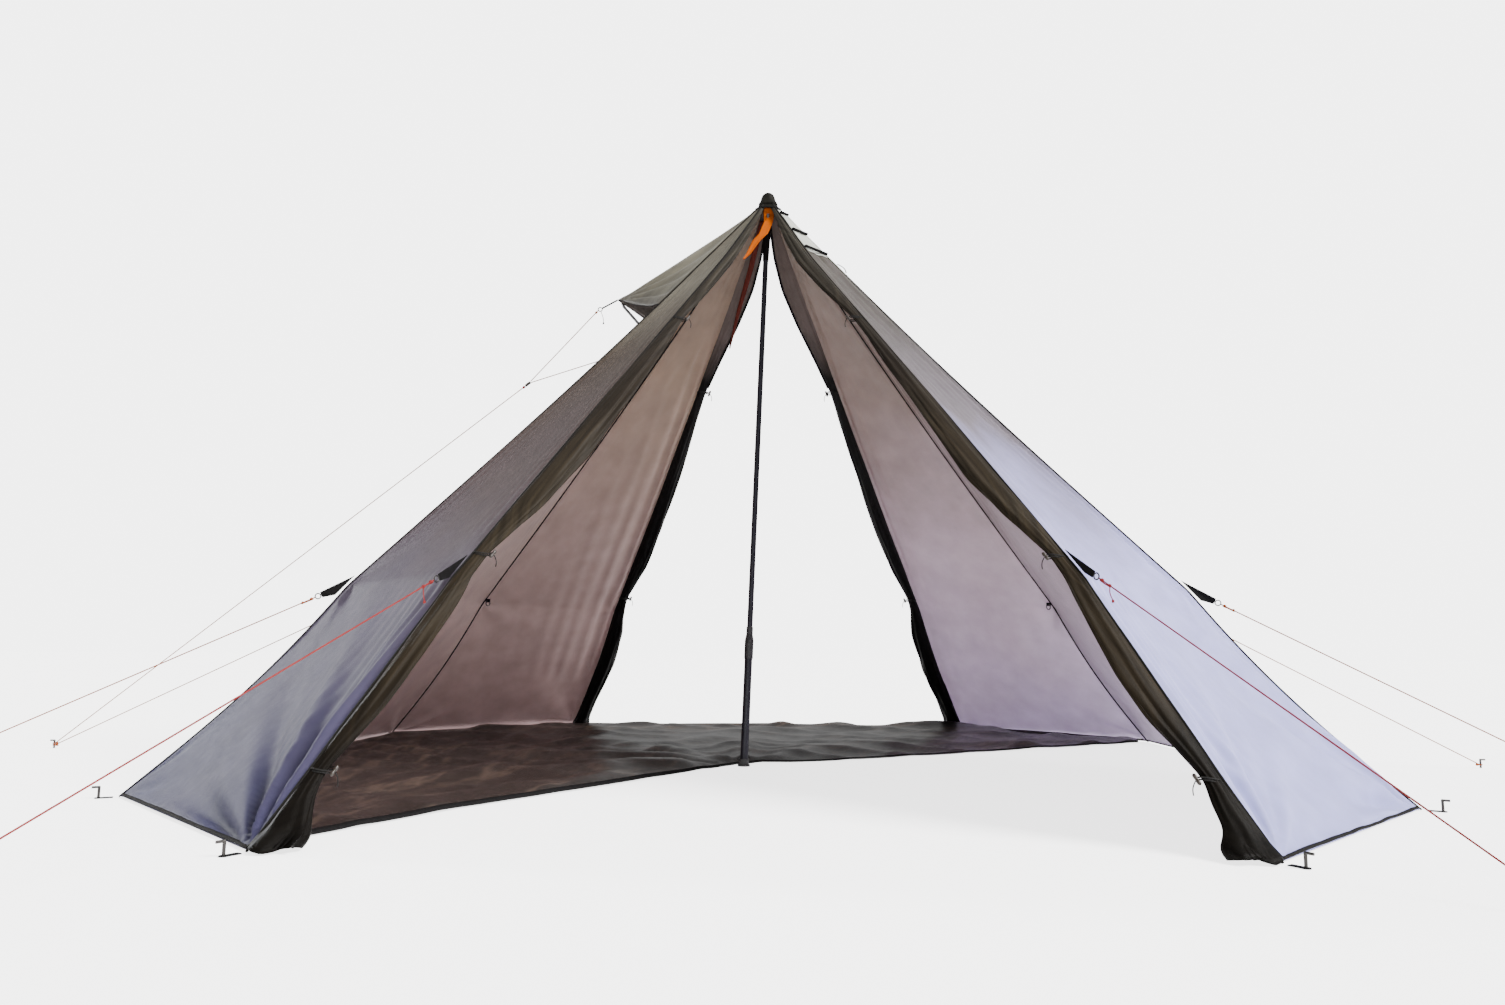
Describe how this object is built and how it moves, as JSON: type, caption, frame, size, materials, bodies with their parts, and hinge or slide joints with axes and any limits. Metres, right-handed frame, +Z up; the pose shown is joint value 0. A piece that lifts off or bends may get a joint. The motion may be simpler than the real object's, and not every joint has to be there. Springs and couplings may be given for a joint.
{
  "type": "pyramid tent",
  "caption": "Eight-sided pyramid tent on a telescoping centre pole, both doors rolled back and tied, with a hooded vent, half groundsheet, tie-outs, guy lines and pegs",
  "frame": {"origin": "The middle of the footprint on the ground, which is also the middle of the bounding box in plan apart from the lines and their pegs.", "axes": "+Z is up, the front door faces -Y and the side with the vent hood faces -X."},
  "size_m": [6.2504, 4.7856, 2.5],
  "materials": {
    "cap_cloth": "black-olive coated cloth, matt",
    "webbing": "black woven webbing and binding",
    "black_plastic": "moulded black plastic, fine texture",
    "pole_tube": "black anodised tube, satin",
    "canopy_cloth": "thin coated grey-olive cloth with a soft violet sheen and fine wrinkles",
    "flap_cloth": "the same thin cloth gathered and in shade, dark olive brown",
    "orange_cloth": "orange cloth",
    "dark_red_cloth": "dark red cloth",
    "toggle_plastic": "small dark barrel toggles",
    "zip_metal": "black zip slider and pull",
    "hood_cloth": "olive-grey cloth",
    "mesh_cloth": "black insect mesh",
    "prop_rod": "black rod",
    "stove_cloth": "pale heat-resistant cloth",
    "ring_metal": "small dark metal rings",
    "peg_steel": "plain steel pegs",
    "groundsheet_cloth": "coated brown groundsheet with a low sheen",
    "guy_cord": "braided orange cord"
  },
  "bodies": {
    "root": {"peak_cap": "cap_cloth", "pole_foot": "black_plastic", "pole_lower": "pole_tube", "panel_front_right": "canopy_cloth", "panel_right": "canopy_cloth", "panel_back_right": "canopy_cloth", "panel_back_left": "canopy_cloth", "panel_left": "canopy_cloth", "panel_front_left": "canopy_cloth", "ridge_tapes": "webbing", "hem_binding": "webbing", "flap_front_left": "flap_cloth", "flap_front_right": "flap_cloth", "flap_back_left": "flap_cloth", "flap_back_right": "flap_cloth", "front_tie_loops": "webbing", "back_tie_loops": "webbing", "flap_toggles": "toggle_plastic", "vent_hood": "hood_cloth", "vent_mesh": "mesh_cloth", "vent_prop_base": "black_plastic", "vent_strap": "webbing", "stove_patch": "stove_cloth", "stove_patch_tabs": "webbing", "tie_out_patches": "webbing", "pull_out_patches": "webbing", "tie_out_rings": "ring_metal", "pull_out_rings": "ring_metal", "ring_tabs": "webbing", "corner_loops": "webbing", "corner_pegs": "peg_steel", "groundsheet": "groundsheet_cloth", "groundsheet_binding": "webbing", "guy_vent_leg_tip": "guy_cord", "guy_vent_leg_panel": "guy_cord", "guy_vent_main": "guy_cord", "guy_side_left": "guy_cord", "guy_seam_left": "guy_cord", "guy_front_left": "guy_cord", "guy_front_right": "guy_cord", "guy_seam_right": "guy_cord", "guy_side_right": "guy_cord", "bridle_toggle": "toggle_plastic", "guy_pegs": "peg_steel"},
    "mast_and_peak": {"pole_middle": "pole_tube", "pole_upper": "pole_tube", "pole_tip": "black_plastic", "peak_socket": "webbing", "front_door_lining": "orange_cloth", "back_door_lining": "dark_red_cloth", "zip_slider_front": "zip_metal", "zip_slider_back": "zip_metal"},
    "collar": {"pole_collar": "black_plastic"},
    "prop": {"vent_prop": "prop_rod"},
    "ring_left": {"hang_ring_left": "black_plastic"},
    "ring_right": {"hang_ring_right": "black_plastic"},
    "pull_front": {"zip_pull_front": "zip_metal"},
    "pull_back": {"zip_pull_back": "zip_metal"}
  },
  "joints": [
    {"name": "pole_slide", "type": "slide", "parent": "root", "child": "mast_and_peak", "axis": [0.0346, 0.057, 0.9978], "range_m": [-0.25, 0]},
    {"name": "collar_twist", "type": "hinge", "parent": "root", "child": "collar", "pos_m": [-0.085, -0.14, 0], "axis": [0.0346, 0.057, 0.9978], "range_deg": [0, 90]},
    {"name": "vent_prop_swing", "type": "hinge", "parent": "root", "child": "prop", "pos_m": [-0.50899, 0, 1.82006], "axis": [0, 1, 0], "range_deg": [0, 75]},
    {"name": "hang_ring_left_swing", "type": "hinge", "parent": "root", "child": "ring_left", "pos_m": [-1.41101, 0.81839, 0.7], "axis": [-0.5017, -0.865, 0], "range_deg": [-50, 50]},
    {"name": "hang_ring_right_swing", "type": "hinge", "parent": "root", "child": "ring_right", "pos_m": [1.41101, 0.81839, 0.7], "axis": [-0.5017, 0.865, 0], "range_deg": [-50, 50]},
    {"name": "zip_pull_front_swing", "type": "hinge", "parent": "mast_and_peak", "child": "pull_front", "pos_m": [0, -0.06161, 2.37334], "axis": [1, 0, 0], "range_deg": [-110, 0]},
    {"name": "zip_pull_back_swing", "type": "hinge", "parent": "mast_and_peak", "child": "pull_back", "pos_m": [-0.024, 0.06161, 2.37334], "axis": [1, 0, 0], "range_deg": [0, 110]}
  ]
}
